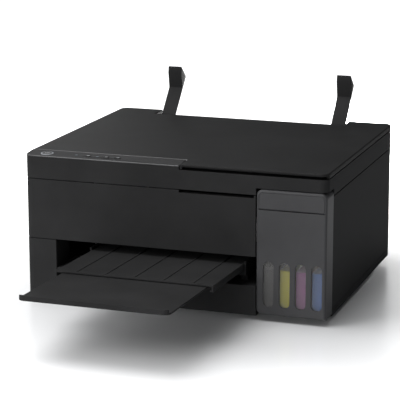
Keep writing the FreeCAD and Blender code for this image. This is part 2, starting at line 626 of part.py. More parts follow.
def window_centre(index):
    return f"window_first + window_pitch*{index}"


def stadium(name, index, y):
    """An upright slot with round ends, as a solid."""
    middle = window_centre(index)
    radius = "window_wide/2"
    ends = [rod(f"{name}_{end}", "y", (middle, height), radius, y)
            for end, height in (("low", f"window_low + {radius}"), ("high", f"window_high - {radius}"))]
    run = block(f"{name}_run", (f"{middle} - {radius}", f"{middle} + {radius}"), y,
                (f"window_low + {radius}", f"window_high - {radius}"))
    return plus(name, *ends, run)


def tank_unit():
    """The ink tank housing with its sight windows and filling door, the bottles, the ink and the caps."""
    back = "tank_front + tank_deep"
    right = "case_width/2"
    outer = block("tank_block", ("tank_left", right), ("tank_front", back), ("tank_low", "tank_top"))
    front_y = number("tank_front")
    middle_x = (number("tank_left") + number(right)) / 2
    middle_z = (number("tank_low") + number("tank_top")) / 2

    def runs_back(edge):
        first, last = edge.Vertexes[0].Point, edge.Vertexes[-1].Point
        straight = abs(first.x - last.x) < 0.01 and abs(first.z - last.z) < 0.01
        return straight and not (first.x > middle_x and first.z < middle_z)

    def at_front(edge):
        return all(abs(vertex.Y - front_y) < 0.01 for vertex in edge.Vertexes)

    def at_top(edge):
        return runs_back(edge) and edge.Vertexes[0].Z > number("tank_seam") + number("tank_round")

    cornered = softened("tank_cornered", outer, "tank_corner", runs_back)
    rounded = softened("tank_rounded", cornered, "tank_round", at_front)
    hollow = softened("tank_hollow",
                      block("tank_room", ("tank_left + skin", f"{right} - skin"),
                            ("tank_front + skin", f"{back} + past"),
                            ("tank_low + skin", "tank_top - skin")),
                      "tank_corner - skin", runs_back)
    slots = [stadium(f"window_slot_{n}", n, ("tank_front - past", "tank_front + past")) for n in range(4)]
    doorway = softened("doorway",
                       block("doorway_block", ("door_left", "door_right"),
                             ("tank_front - past", "tank_front + skin + slack"),
                             ("tank_seam", "door_top")),
                       "door_corner", at_top)
    groove = block("seam_groove", ("tank_left - past", f"{right} + past"),
                   ("tank_front - past", "tank_front + groove_deep"),
                   ("tank_seam", "tank_seam + slack*2"))
    hinge = ("tank_front + bead_radius", "tank_seam + slack + bead_radius")
    pivot = rod("door_pivot", "x", hinge, "door_pin_radius + pin_fit",
                ("door_pin_left - slack", "door_pin_right + slack"))
    piece(minus("tank_housing", rounded, hollow, *slots, doorway, groove, pivot))

    inside = grown(("door_left", "door_right"), "-slack")
    leaf = softened("door_leaf",
                    block("door_plate", inside, ("tank_front", "tank_front + skin - slack/4"),
                          (hinge[1], "door_top - slack")),
                    "door_corner - slack", at_top)
    bead = rod("door_bead", "x", hinge, "bead_radius", inside)
    pin = rod("door_pin", "x", hinge, "door_pin_radius", ("door_pin_left", "door_pin_right"))
    piece(plus("tank_cover", leaf, bead, pin))

    panes = [stadium(f"pane_{n}", n, ("tank_front + skin - pane_deep", "tank_front + skin"))
             for n in range(4)]
    piece(together("sight_windows", *panes))

    bottles = []
    for index, ink in enumerate(("black", "yellow", "magenta", "cyan")):
        middle = window_centre(index)
        wide = (f"{middle} - bottle_wide/2", f"{middle} + bottle_wide/2")
        deep = ("bottle_front", "bottle_back")
        room_x = grown(wide, "-bottle_skin")
        room_y = grown(deep, "-bottle_skin")
        shell = block(f"bottle_shell_{ink}", wide, deep, ("bottle_low", "bottle_top"))
        room = block(f"bottle_room_{ink}", room_x, room_y,
                     ("bottle_low + bottle_skin", "bottle_top - bottle_skin"))
        spot = (middle, "spout_y")
        spout = rod(f"spout_{ink}", "z", spot, "spout_radius", ("bottle_top", "spout_top"))
        bore = rod(f"spout_bore_{ink}", "z", spot, "spout_bore",
                   ("bottle_top - past", "spout_top + past"))
        bottles.append(minus(f"bottle_{ink}", plus(f"bottle_whole_{ink}", shell, spout), room, bore))
        piece(block(f"ink_{ink}", room_x, room_y, ("bottle_low + bottle_skin", "ink_level")))
        crown = rod(f"cap_crown_{ink}", "z", spot, "cap_radius", ("spout_top + slack", "cap_top"))
        plug = rod(f"cap_plug_{ink}", "z", spot, "plug_radius", ("plug_low", "spout_top + slack"))
        piece(plus(f"cap_{ink}", crown, plug))
    piece(together("ink_tanks", *bottles))


def feed_slot(name, clearance):
    """The slanted way for the paper through the scanner unit, wider all round by a clearance."""
    foot = f"slot_front - (lid_top - scanner_low + past)*tan(lean) - ({clearance})"
    outline = [(foot, "scanner_low - past"), (f"slot_front - ({clearance})", "lid_top"),
               (f"slot_front - ({clearance})", "lid_top + past"), ("case_depth", "lid_top + past"),
               ("case_depth", "scanner_low - past")]
    return prism(name, outline, grown(("-slot_half", "slot_half"), clearance))


def tank_notch(name, clearance):
    """The room that the scanner unit leaves for the top of the ink tank unit."""
    return block(name, (f"tank_left - seam*2 - ({clearance})", "case_width"),
                 ("-case_depth", f"tank_front + tank_deep + seam*2 + {clearance}"),
                 ("scanner_low - past", f"tank_top + seam + {clearance}"))


def panel_corner(name, clearance, low):
    """The front left corner that belongs to the control panel."""
    return block(name, ("-case_width", f"panel_right + {clearance}"),
                 ("-case_depth", f"{FRONT} + panel_deep + {clearance}"),
                 (low, "lid_top + past"))


def knuckle_pair(name, start, long, centre, radius):
    """Two hinge barrels at equal distances either side of the middle."""
    return [rod(f"{name}_left", "x", centre, radius, (f"-({start}) - {long}", f"-({start})")),
            rod(f"{name}_right", "x", centre, radius, (start, f"{start} + {long}"))]


def hinge_arms(name, start, long, y, z):
    return [block(f"{name}_left", (f"-({start}) - {long}", f"-({start})"), y, z),
            block(f"{name}_right", (start, f"{start} + {long}"), y, z)]


def scanner_unit():
    """The scanner housing that lifts at the front, with its bed, glass, scan bar and rail."""
    tall = ("scanner_low", "panel_low")
    outer = slab("scanner_outer", ACROSS, ALONG, tall, "case_corner")
    step_right = block("scanner_step_right", ("panel_right", "case_width"), ("-case_depth", "case_depth"),
                       ("scanner_rim", "lid_top + past"))
    step_back = block("scanner_step_back", ("-case_width", "case_width"),
                      (f"{FRONT} + panel_deep", "case_depth"),
                      ("scanner_rim", "lid_top + past"))
    solid = minus("scanner_solid", outer, step_right, step_back, feed_slot("scanner_slot", "0"),
                  tank_notch("scanner_notch", "0"))
    room = slab("scanner_room", grown(ACROSS, "-skin"), grown(ALONG, "-skin"),
                ("scanner_low + skin", "panel_low + past"), "case_corner - skin")
    hollow = minus("scanner_hollow", room, feed_slot("scanner_slot_wall", "skin"),
                   tank_notch("scanner_notch_wall", "skin"))
    tub = minus("scanner_tub", solid, hollow)
    posts = [block(f"rail_post_{side}", span, ("rail_y - post_half", "rail_y + post_half"),
                   ("scanner_low + skin/2", "rail_z + post_half"))
             for side, span in (("left", ("-rail_half - post_wide", "-rail_half")),
                                ("right", ("rail_half", "rail_half + post_wide")))]
    hinge = ("knuckle_y", "scanner_low")
    barrels = knuckle_pair("scanner_barrel", "scanner_knuckle_x", "knuckle_long", hinge, "knuckle_radius")
    arms = hinge_arms("scanner_arm", "scanner_knuckle_x", "knuckle_long", (f"{BACK} - skin", "knuckle_y"),
                      ("scanner_low", "scanner_low + knuckle_radius"))
    pin_holes = [rod(f"scanner_pin_hole_{side}", "x", hinge, "hinge_pin_radius + pin_fit", span)
                 for side, span in (("left",
                                     ("-scanner_knuckle_x - past*2", "-scanner_knuckle_x + past")),
                                    ("right", ("scanner_knuckle_x - past",
                                               "scanner_knuckle_x + past*2")))]
    piece(minus("scanner_base", plus("scanner_whole", tub, *posts, *barrels, *arms), *pin_holes))

    start = "scanner_knuckle_x + knuckle_long + slack"
    case_barrels = knuckle_pair("case_barrel", start, "knuckle_long", hinge, "knuckle_radius")
    case_arms = hinge_arms("case_arm", start, "knuckle_long", (BACK, "knuckle_y"),
                           ("scanner_low - knuckle_radius", "scanner_low - slack"))
    pins = knuckle_pair("scanner_pin", "scanner_knuckle_x - skin", "knuckle_long*2", hinge,
                        "hinge_pin_radius")
    piece(together("scanner_hinges", *[plus(f"scanner_hinge_{n}", *group)
                                       for n, group in enumerate(zip(case_barrels, case_arms, pins))]))

    bed = slab("bed_sheet", grown(ACROSS, "-skin"), grown(ALONG, "-skin"),
               ("scanner_rim - bed_thick", "scanner_rim"),
               "case_corner - skin")
    pane = (("-glass_half", "glass_half"), ("glass_front", "glass_back"),
            ("scanner_rim - glass_thick", "scanner_rim"))
    window = block("bed_window", pane[0], pane[1], grown(pane[2], "past"))
    piece(minus("scanner_bed", bed, window, feed_slot("bed_slot", "skin")))
    piece(block("scanner_glass", *pane))

    bar_x = ("bar_left", "bar_left + bar_wide")
    bar = block("bar_block", bar_x, ("bar_front", "bar_back"), ("bar_low", "bar_high"))
    bore = rod("bar_bore", "x", ("rail_y", "rail_z"), "rail_radius + pin_fit", grown(bar_x, "past"))
    lens = block("bar_lens", ("bar_left + bar_wide*0.4", "bar_left + bar_wide*0.6"),
                 grown(("bar_front", "bar_back"), "-past/2"),
                 ("bar_high - spindle_radius/2", "bar_high + past"))
    piece(minus("scan_bar", bar, bore, lens))
    piece(rod("scan_rail", "x", ("rail_y", "rail_z"), "rail_radius", ("-rail_half", "rail_half")))


def control_panel():
    """The sloping control panel with its power button, light ring, small buttons and lights."""
    outer = slab("panel_outer", ACROSS, ALONG, ("panel_low", "lid_top"), "case_corner")
    strip = both("panel_strip", outer, panel_corner("panel_corner", "0", "panel_low - past"))
    back = f"{FRONT} + panel_deep"
    slope = prism("panel_slope",
                  [(FRONT, "lid_top - panel_fall"), (back, "lid_top"), (back, "lid_top + past"),
                                  (FRONT, "lid_top + past")], ("-case_width", "case_width"))
    buttons = (("wifi_button", "wifi_x"), ("mono_copy_button", "mono_x"),
               ("colour_copy_button", "colour_x"))
    lights = ("light_first_x", "light_second_x")
    through = ("panel_low - past", "lid_top + past")
    holes = [rod("power_hole", "z", ("power_x", "button_y"), "ring_radius", through)]
    holes += [rod(f"{name}_hole", "z", (x, "button_y"), "small_radius + button_gap", through)
              for name, x in buttons]
    holes += [rod(f"{x}_hole", "z", (x, "button_y"), "light_radius", through) for x in lights]
    piece(minus("control_panel", strip, slope, *holes))

    tall = ("button_low", "button_top")
    for name, x, radius in (("power_button", "power_x", "power_radius"),
                            *((name, x, "small_radius") for name, x in buttons)):
        stem = rod(f"{name}_stem", "z", (x, "button_y"), radius, tall)
        piece(softened(name, stem, "button_gap*1.6",
                       lambda edge: edge.BoundBox.ZMin > number("button_top") - 0.01))
    ring = rod("ring_disc", "z", ("power_x", "button_y"), "ring_radius", ("panel_low", "ring_top"))
    hole = rod("ring_hole", "z", ("power_x", "button_y"), "ring_inner", through)
    lenses = [rod(f"{x}_lens", "z", (x, "button_y"), "light_radius", ("panel_low", "ring_top"))
              for x in lights]
    piece(together("panel_lights", minus("power_ring", ring, hole), *lenses))


def document_cover():
    """The lid over the scanner glass, its white backing mat and its two rear hinges."""
    outer = slab("lid_outer", ACROSS, ALONG, ("lid_low", "lid_top"), "case_corner")
    slot = block("lid_slot", ("-slot_half", "slot_half"), ("slot_front", "case_depth"),
                 ("0", "lid_top + past"))
    plan = minus("lid_plan", outer, slot, panel_corner("lid_panel_corner", "seam", "0"))
    room = slab("lid_room", grown(ACROSS, "-lid_rim"), grown(ALONG, "-lid_rim"),
                ("lid_low - past", "lid_top - lid_skin"),
                "case_corner - lid_rim")
    slot_wall = block("lid_slot_wall", ("-slot_half - lid_rim", "slot_half + lid_rim"),
                      ("slot_front - lid_rim", "case_depth"),
                      ("0", "lid_top + past"))
    hollow = minus("lid_hollow", room, slot_wall, panel_corner("lid_corner_wall", "seam + lid_rim", "0"))
    grip = block("lid_grip", ("panel_right + lid_rim", "case_width"),
                 ("-case_depth", f"{FRONT} + lid_grip_deep"),
                 ("lid_low - past", "lid_low + lid_grip_high"))
    skirt = minus("lid_skirt", plan, hollow, grip)
    top = number("lid_top")
    shell = softened("lid_shell", skirt, "lid_round",
                     lambda edge: all(abs(vertex.Z - top) < 0.01 for vertex in edge.Vertexes))
    hinge = ("knuckle_y", "lid_hinge_z")
    barrels = knuckle_pair("lid_barrel", "lid_knuckle_x", "knuckle_long", hinge, "lid_knuckle_radius")
    arms = hinge_arms("lid_arm", "lid_knuckle_x", "knuckle_long", (f"{BACK} - lid_rim", "knuckle_y"),
                      ("lid_low", "lid_hinge_z + lid_knuckle_radius"))
    pin_holes = [rod(f"lid_pin_hole_{side}", "x", hinge, "hinge_pin_radius + pin_fit", span)
                 for side, span in (("left", ("-lid_knuckle_x - past*2", "-lid_knuckle_x + past")),
                                    ("right", ("lid_knuckle_x - past", "lid_knuckle_x + past*2")))]
    piece(minus("document_cover", plus("lid_whole", shell, *barrels, *arms), *pin_holes))
    start = "lid_knuckle_x + knuckle_long + slack"
    case_barrels = knuckle_pair("lid_post_barrel", start, "knuckle_long", hinge, "lid_knuckle_radius")
    case_arms = hinge_arms("lid_post_arm", start, "knuckle_long", (BACK, "knuckle_y"),
                           ("lid_hinge_z - lid_knuckle_radius", "scanner_rim"))
    pins = knuckle_pair("lid_pin", "lid_knuckle_x - skin", "knuckle_long*2", hinge, "hinge_pin_radius")
    piece(together("lid_hinges", *[plus(f"lid_hinge_{n}", *group)
                                   for n, group in enumerate(zip(case_barrels, case_arms, pins))]))
    mat = slab("lid_mat", ("-mat_half", "mat_half"), ("mat_front", "mat_back"),
               ("lid_top - lid_skin - mat_thick", "lid_top - lid_skin"), "case_corner/2")
    piece(mat)


base_pan()
rubber_feet()
case_shells()
rear_feed_cover()
rear_sockets()
case_screws()
exit_frame()
output_tray()
paper_feed()
chassis_frame()
print_carriage()
paper_rollers()
service_pieces()
tank_unit()
scanner_unit()
control_panel()
document_cover()
doc.recompute()

for item in doc.Objects:
    if "Invalid" in item.State or "Error" in item.State:
        raise RuntimeError(f"{item.Name} failed to build: {item.State}")
for item in pieces:
    if item.Shape.isNull() or not item.Shape.isValid():
        raise RuntimeError(f"{item.Label} has no valid shape")

os.makedirs("parts", exist_ok=True)
for item in pieces:
    item.Shape.exportStep(f"parts/{item.Label}.step")
print(len(pieces), "sub-parts written")
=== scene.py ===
import bpy
import json
import math
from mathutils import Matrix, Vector

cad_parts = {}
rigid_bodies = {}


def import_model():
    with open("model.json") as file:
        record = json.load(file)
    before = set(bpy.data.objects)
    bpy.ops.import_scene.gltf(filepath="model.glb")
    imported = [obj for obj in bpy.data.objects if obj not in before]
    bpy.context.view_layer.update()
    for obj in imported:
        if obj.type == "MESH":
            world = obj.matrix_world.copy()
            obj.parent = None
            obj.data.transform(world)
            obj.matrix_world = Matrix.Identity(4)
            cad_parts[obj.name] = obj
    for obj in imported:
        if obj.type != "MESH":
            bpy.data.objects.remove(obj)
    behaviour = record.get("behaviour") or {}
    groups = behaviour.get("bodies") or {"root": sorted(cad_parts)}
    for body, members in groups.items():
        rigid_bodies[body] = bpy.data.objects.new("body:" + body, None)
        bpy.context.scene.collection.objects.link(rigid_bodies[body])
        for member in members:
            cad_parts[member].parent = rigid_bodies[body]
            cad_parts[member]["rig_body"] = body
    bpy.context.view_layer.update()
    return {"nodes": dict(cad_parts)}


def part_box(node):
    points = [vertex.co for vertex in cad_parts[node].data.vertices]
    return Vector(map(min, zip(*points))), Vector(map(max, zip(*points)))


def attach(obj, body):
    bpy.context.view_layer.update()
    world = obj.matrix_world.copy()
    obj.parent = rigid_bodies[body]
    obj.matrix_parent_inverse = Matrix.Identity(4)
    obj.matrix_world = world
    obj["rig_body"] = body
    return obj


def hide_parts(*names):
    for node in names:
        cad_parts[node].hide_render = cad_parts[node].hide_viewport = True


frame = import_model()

# Viewpoint: a long lens from the front and a little to the right,
# looking slightly down on the printer.
eye = (0.67406, -1.99156, 0.60349)
look_down, lean, turn_left = 0.2353, 0.0018, 0.3353
lens_mm = 155.1
bpy.ops.object.select_all(action="DESELECT")
bpy.ops.object.camera_add(location=eye, rotation=(math.pi / 2 - look_down, lean, turn_left))
camera = bpy.context.object
camera.name = "photo_camera"
camera.data.lens = lens_mm
camera.data.sensor_width = 36.0
camera.data.clip_end = 60.0
bpy.context.scene.camera = camera
bpy.context.scene.view_settings.view_transform = "Standard"

# Floor: one wide pale board, waxed enough to give a faint mirror image of
# the case. Further out it carries a painted glow: an emission that rises with
# distance from the middle and is seen by camera rays only, so it lights nothing.
floor_wide = 60.0
floor_centre = (0.0, 4.0, 0.0)
glow_starts, glow_full, glow_power = 0.24, 0.62, 0.95
bpy.ops.object.select_all(action="DESELECT")
bpy.ops.mesh.primitive_plane_add(size=floor_wide, location=floor_centre)
floor = bpy.context.object
floor.name = "studio_floor"
bpy.ops.object.mode_set(mode="EDIT")
bpy.ops.mesh.subdivide(number_cuts=3)
bpy.ops.object.mode_set(mode="OBJECT")
bpy.ops.object.transform_apply(location=True)
floor_white = bpy.data.materials.new("floor_white")
floor_white.use_nodes = True
floor_nodes, floor_links = floor_white.node_tree.nodes, floor_white.node_tree.links
floor_skin = floor_nodes["Principled BSDF"]
floor_skin.inputs["Base Color"].default_value = (0.86, 0.865, 0.875, 1.0)
floor_skin.inputs["Roughness"].default_value = 0.2
floor_skin.inputs["Specular IOR Level"].default_value = 0.9
floor_skin.inputs["Emission Color"].default_value = (1.0, 1.0, 1.0, 1.0)
floor_place = floor_nodes.new("ShaderNodeTexCoord")
floor_reach = floor_nodes.new("ShaderNodeVectorMath")
floor_reach.operation = "LENGTH"
floor_links.new(floor_place.outputs["Object"], floor_reach.inputs[0])
floor_glow = floor_nodes.new("ShaderNodeMapRange")
floor_glow.interpolation_type = "SMOOTHSTEP"
floor_glow.inputs["From Min"].default_value = glow_starts
floor_glow.inputs["From Max"].default_value = glow_full
floor_glow.inputs["To Max"].default_value = glow_power
floor_links.new(floor_reach.outputs["Value"], floor_glow.inputs["Value"])
# Painted glow: the emission counts for camera rays only, so the far floor looks brighter without
# lighting anything.
floor_path = floor_nodes.new("ShaderNodeLightPath")
floor_painted_glow = floor_nodes.new("ShaderNodeMath")
floor_painted_glow.operation = "MULTIPLY"
floor_links.new(floor_glow.outputs["Result"], floor_painted_glow.inputs[0])
floor_links.new(floor_path.outputs["Is Camera Ray"], floor_painted_glow.inputs[1])
floor_links.new(floor_painted_glow.outputs["Value"], floor_skin.inputs["Emission Strength"])
floor.data.materials.append(floor_white)


# Studio light: two large softboxes overhead, one low in front, a small one on
# the left, three behind that grade the lid and lift the back, and a dim room.
def softbox(name, place, target, width, height, power):
    """A rectangular light at a place, facing a target, of a power in watts."""
    bpy.ops.object.select_all(action="DESELECT")
    bpy.ops.object.light_add(type="AREA", location=place)
    lamp = bpy.context.object
    lamp.name = name
    lamp.data.shape = "RECTANGLE"
    lamp.data.size = width
    lamp.data.size_y = height
    lamp.data.energy = power
    aim = Vector(target) - Vector(place)
    lamp.rotation_euler = aim.to_track_quat("-Z", "Y").to_euler()
    lamp.visible_camera = False


softbox("overhead_softbox", (-0.75, -0.45, 2.2), (-0.1, -0.1, 0.0), 1.5, 1.8, 40.0)
softbox("top_softbox", (-0.2, -0.5, 2.3), (-0.05, -0.15, 0.0), 2.2, 2.0, 15.0)
softbox("front_softbox", (-0.3, -2.6, 0.5), (0.0, 0.0, 0.1), 1.5, 0.6, 24.0)
softbox("left_softbox", (-0.75, -1.0, 0.6), (-0.05, -0.1, 0.1), 0.5, 0.5, 5.0)
softbox("lid_softbox", (-1.0, 1.2, 1.6), (-0.1, 0.0, 0.15), 1.0, 1.0, 9.0)
softbox("sheen_softbox", (-0.95, 1.6, 0.32), (0.0, 0.16, 0.1), 0.3, 0.3, 0.7)
softbox("rear_softbox", (0.0, 1.3, 0.1), (0.0, 0.16, 0.08), 0.34, 0.13, 6.0)
room = bpy.data.worlds.new("studio_room")
bpy.context.scene.world = room
room.use_nodes = True
room_air = room.node_tree.nodes["Background"]
room_air.inputs["Color"].default_value = (0.96, 0.98, 1.0, 1.0)
room_air.inputs["Strength"].default_value = 0.1


# Lower pan: the moulded tray that everything stands on, black ABS with a fine
# spark-eroded grain, open at the front for the tray.
def moulded(name, colour, roughness, grain=2600.0, depth=0.00006, gloss=0.015, drift=0.14):
    """Injection-moulded plastic: even colour, fine grain, faint handling marks."""
    rub_spread = 0.06
    finish = bpy.data.materials.new(name)
    finish.use_nodes = True
    nodes, links = finish.node_tree.nodes, finish.node_tree.links
    shader = nodes["Principled BSDF"]
    shader.inputs["Specular IOR Level"].default_value = gloss
    place = nodes.new("ShaderNodeTexCoord")
    clouds = nodes.new("ShaderNodeTexNoise")
    clouds.inputs["Scale"].default_value = 14.0
    clouds.inputs["Detail"].default_value = 5.0
    clouds.inputs["Roughness"].default_value = 0.6
    links.new(place.outputs["Object"], clouds.inputs["Vector"])
    tint = nodes.new("ShaderNodeValToRGB")
    tint.color_ramp.elements[0].position = 0.3
    tint.color_ramp.elements[1].position = 0.7
    tint.color_ramp.elements[0].color = tuple(c * (1.0 - drift) for c in colour) + (1.0,)
    tint.color_ramp.elements[1].color = tuple(c * (1.0 + drift) for c in colour) + (1.0,)
    links.new(clouds.outputs["Fac"], tint.inputs["Fac"])
    links.new(tint.outputs["Color"], shader.inputs["Base Color"])
    rub = nodes.new("ShaderNodeMapRange")
    rub.inputs["To Min"].default_value = roughness - rub_spread
    rub.inputs["To Max"].default_value = roughness + rub_spread
    links.new(clouds.outputs["Fac"], rub.inputs["Value"])
    links.new(rub.outputs["Result"], shader.inputs["Roughness"])
    grains = nodes.new("ShaderNodeTexNoise")
    grains.inputs["Scale"].default_value = grain
    grains.inputs["Detail"].default_value = 3.0
    links.new(place.outputs["Object"], grains.inputs["Vector"])
    relief = nodes.new("ShaderNodeBump")
    relief.inputs["Strength"].default_value = 0.5
    relief.inputs["Distance"].default_value = depth
    links.new(grains.outputs["Fac"], relief.inputs["Height"])
    links.new(relief.outputs["Normal"], shader.inputs["Normal"])
    return finish


def dress(finish, *names):
    """The CAD pieces of these names keep their shape and take this finish."""
    for name in names:
        for holder in frame["nodes"][name].material_slots:
            holder.material = finish


def eased(name, finish, radius):
    """The CAD piece with its moulded edges broken by a small radius."""
    weld, edge_steps = 0.00001, 3
    flat_within, smooth_below, sharp_above = 0.6, 28.0, 32.0
    source = frame["nodes"][name]
    bpy.ops.object.select_all(action="DESELECT")
    shape = bpy.data.objects.new(name + "_shell", source.data.copy())
    bpy.context.scene.collection.objects.link(shape)
    bpy.context.view_layer.objects.active = shape
    shape.select_set(True)
    shape.data.materials.clear()
    shape.data.materials.append(finish)
    bpy.ops.object.mode_set(mode="EDIT")
    bpy.ops.mesh.select_all(action="SELECT")
    bpy.ops.mesh.remove_doubles(threshold=weld)
    bpy.ops.mesh.customdata_custom_splitnormals_clear()
    bpy.ops.mesh.dissolve_limited(angle_limit=math.radians(flat_within))
    bpy.ops.object.mode_set(mode="OBJECT")
    edge = shape.modifiers.new("edge", "BEVEL")
    edge.width = radius
    edge.segments = edge_steps
    edge.limit_method = "ANGLE"
    edge.angle_limit = math.radians(sharp_above)
    edge.use_clamp_overlap = False
    edge.miter_outer = "MITER_ARC"
    bpy.ops.object.modifier_apply(modifier="edge")
    bpy.ops.object.shade_smooth_by_angle(angle=math.radians(smooth_below))
    flat = shape.modifiers.new("flat", "WEIGHTED_NORMAL")
    flat.weight = 100
    flat.keep_sharp = True
    bpy.ops.object.modifier_apply(modifier="flat")
    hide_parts(name)
    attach(shape, source["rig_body"])
    return shape


case_black = moulded("case_black", (0.0235, 0.0235, 0.0239), 0.5)
eased("base_pan", case_black, 0.0006)


# Pan underside: moulded stiffening ribs, a grid of long bars that stand a
# little proud of the pan and clear of the table.
def bar(name, low, high, radius, finish):
    """A straight moulded bar between two corners, all its edges rounded."""
    edge_steps, smooth_below = 2, 35.0
    bpy.ops.object.select_all(action="DESELECT")
    middle = [(a + b) / 2 for a, b in zip(low, high)]
    bpy.ops.mesh.primitive_cube_add(size=1.0, location=middle)
    made = bpy.context.object
    made.name = name
    made.scale = [b - a for a, b in zip(low, high)]
    bpy.ops.object.transform_apply(location=True, rotation=True, scale=True)
    bpy.ops.object.mode_set(mode="EDIT")
    bpy.ops.mesh.select_all(action="SELECT")
    bpy.ops.mesh.bevel(offset=radius, segments=edge_steps, affect="EDGES")
    bpy.ops.object.mode_set(mode="OBJECT")
    bpy.ops.object.shade_smooth_by_angle(angle=math.radians(smooth_below))
    made.data.materials.append(finish)
    return made


def joined(name, members, body):
    """Like parts made one piece, riding on a body."""
    bpy.ops.object.select_all(action="DESELECT")
    for member in members:
        member.select_set(True)
    bpy.context.view_layer.objects.active = members[0]
    if len(members) > 1:
        bpy.ops.object.join()
    whole = bpy.context.view_layer.objects.active
    whole.name = name
    whole.data.name = name
    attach(whole, body)
    return whole


rib_half, rib_edge = 0.0012, 0.0004
pan_ribs = [
    bar("pan_rib", (-0.150, y - rib_half, 0.0032), (0.095, y + rib_half, 0.0056),
        rib_edge, case_black)
    for y in (-0.09, -0.02, 0.05, 0.115)
]
pan_ribs += [
    bar("pan_rib", (x - rib_half, -0.105, 0.0033), (x + rib_half, 0.13, 0.0055),
        rib_edge, case_black)
    for x in (-0.12, -0.03, 0.06)
]
joined("pan_ribs", pan_ribs, "base")

# Feet: four moulded discs of soft black rubber, pressed into the pan's
# underside, that keep the printer from sliding.
foot_rubber = moulded("foot_rubber", (0.022, 0.022, 0.022), 0.82, grain=1400.0, gloss=0.2)
eased("rubber_feet", foot_rubber, 0.0008)


# Chassis: folded zinc-plated sheet steel screwed to the pan, with a ground
# guide shaft for the carriage.
def plated(name, colour, roughness, spread, scale):
    """Metal with faint drawn or spangled variation in tone and polish."""
    dark, bright = 0.82, 1.12
    smooth, rough = 0.7, 1.3
    finish = bpy.data.materials.new(name)
    finish.use_nodes = True
    nodes, links = finish.node_tree.nodes, finish.node_tree.links
    shader = nodes["Principled BSDF"]
    shader.inputs["Metallic"].default_value = 1.0
    place = nodes.new("ShaderNodeTexCoord")
    turn = nodes.new("ShaderNodeMapping")
    turn.inputs["Scale"].default_value = spread
    links.new(place.outputs["Object"], turn.inputs["Vector"])
    streaks = nodes.new("ShaderNodeTexNoise")
    streaks.inputs["Scale"].default_value = scale
    streaks.inputs["Detail"].default_value = 4.0
    links.new(turn.outputs["Vector"], streaks.inputs["Vector"])
    tint = nodes.new("ShaderNodeValToRGB")
    tint.color_ramp.elements[0].color = tuple(c * dark for c in colour) + (1.0,)
    tint.color_ramp.elements[1].color = tuple(min(c * bright, 1.0) for c in colour) + (1.0,)
    links.new(streaks.outputs["Fac"], tint.inputs["Fac"])
    links.new(tint.outputs["Color"], shader.inputs["Base Color"])
    rub = nodes.new("ShaderNodeMapRange")
    rub.inputs["To Min"].default_value = roughness * smooth
    rub.inputs["To Max"].default_value = roughness * rough
    links.new(streaks.outputs["Fac"], rub.inputs["Value"])
    links.new(rub.outputs["Result"], shader.inputs["Roughness"])
    return finish


plated_steel = plated("plated_steel", (0.50, 0.51, 0.52), 0.36, (1.0, 1.0, 1.0), 60.0)
ground_steel = plated("ground_steel", (0.64, 0.64, 0.65), 0.16, (0.2, 6.0, 6.0), 220.0)
dress(plated_steel, "chassis_frame", "scan_rail")
dress(ground_steel, "carriage_shaft")

# Print engine: a grey moulded carriage with its black head, belt and pulleys,
# the ribbed platen, the capping station, the waste pad box and the power
# supply, moulded in black and screwed to the chassis and the pan.
inner_black = moulded("inner_black", (0.012, 0.012, 0.0125), 0.55)
mech_grey = moulded("mech_grey", (0.075, 0.076, 0.08), 0.5)
belt_rubber = moulded("belt_rubber", (0.014, 0.014, 0.014), 0.7, grain=900.0)
eased("print_carriage", mech_grey, 0.0006)
eased("capping_station", inner_black, 0.0005)
eased("waste_ink_box", inner_black, 0.0008)
eased("power_supply", inner_black, 0.0008)
eased("platen", inner_black, 0.0003)
dress(inner_black, "print_head")
dress(mech_grey, "motor_pulley", "idler_pulley")
dress(plated("motor_can", (0.42, 0.43, 0.44), 0.3, (1.0, 1.0, 1.0), 90.0), "drive_motors")
dress(belt_rubber, "carriage_belt", "transport_belt")


# Rollers: ground steel axles with moulded rubber sleeves, the feed, eject and
# pick-up rollers, each turning in the chassis.
def overlaid(finish, mask, colour, metal):
    """A second colour on a finish wherever the mask is one, bare metal or not."""
    nodes, links = finish.node_tree.nodes, finish.node_tree.links
    shader = nodes["Principled BSDF"]
    tone = nodes.new("ShaderNodeMix")
    tone.data_type = "RGBA"
    tone.inputs["B"].default_value = colour + (1.0,)
    links.new(mask, tone.inputs["Factor"])
    links.new(shader.inputs["Base Color"].links[0].from_socket, tone.inputs["A"])
    links.new(tone.outputs["Result"], shader.inputs["Base Color"])
    if metal:
        links.new(mask, shader.inputs["Metallic"])


def sleeved(name, across, up, axle):
    """Steel up to the axle's radius round its line, black rubber beyond it."""
    finish = moulded(name, (0.02, 0.02, 0.021), 0.7, grain=900.0)
    nodes, links = finish.node_tree.nodes, finish.node_tree.links
    centre = nodes.new("ShaderNodeMapping")
    centre.inputs["Location"].default_value = (0.0, -across, -up)
    centre.inputs["Scale"].default_value = (0.0, 1.0, 1.0)
    links.new(nodes["Texture Coordinate"].outputs["Object"], centre.inputs["Vector"])
    reach = nodes.new("ShaderNodeVectorMath")
    reach.operation = "LENGTH"
    links.new(centre.outputs["Vector"], reach.inputs[0])
    bare = nodes.new("ShaderNodeMath")
    bare.operation = "LESS_THAN"
    bare.inputs[1].default_value = axle
    links.new(reach.outputs["Value"], bare.inputs[0])
    overlaid(finish, bare.outputs["Value"], (0.55, 0.55, 0.56), metal=True)
    return finish


dress(sleeved("feed_roller_rubber", 0.060, 0.080, 0.0043), "feed_roller")
dress(sleeved("eject_roller_rubber", -0.008, 0.080, 0.0043), "eject_roller")
dress(sleeved("pickup_rubber", 0.083895, 0.12914, 0.0033), "pickup_roller")


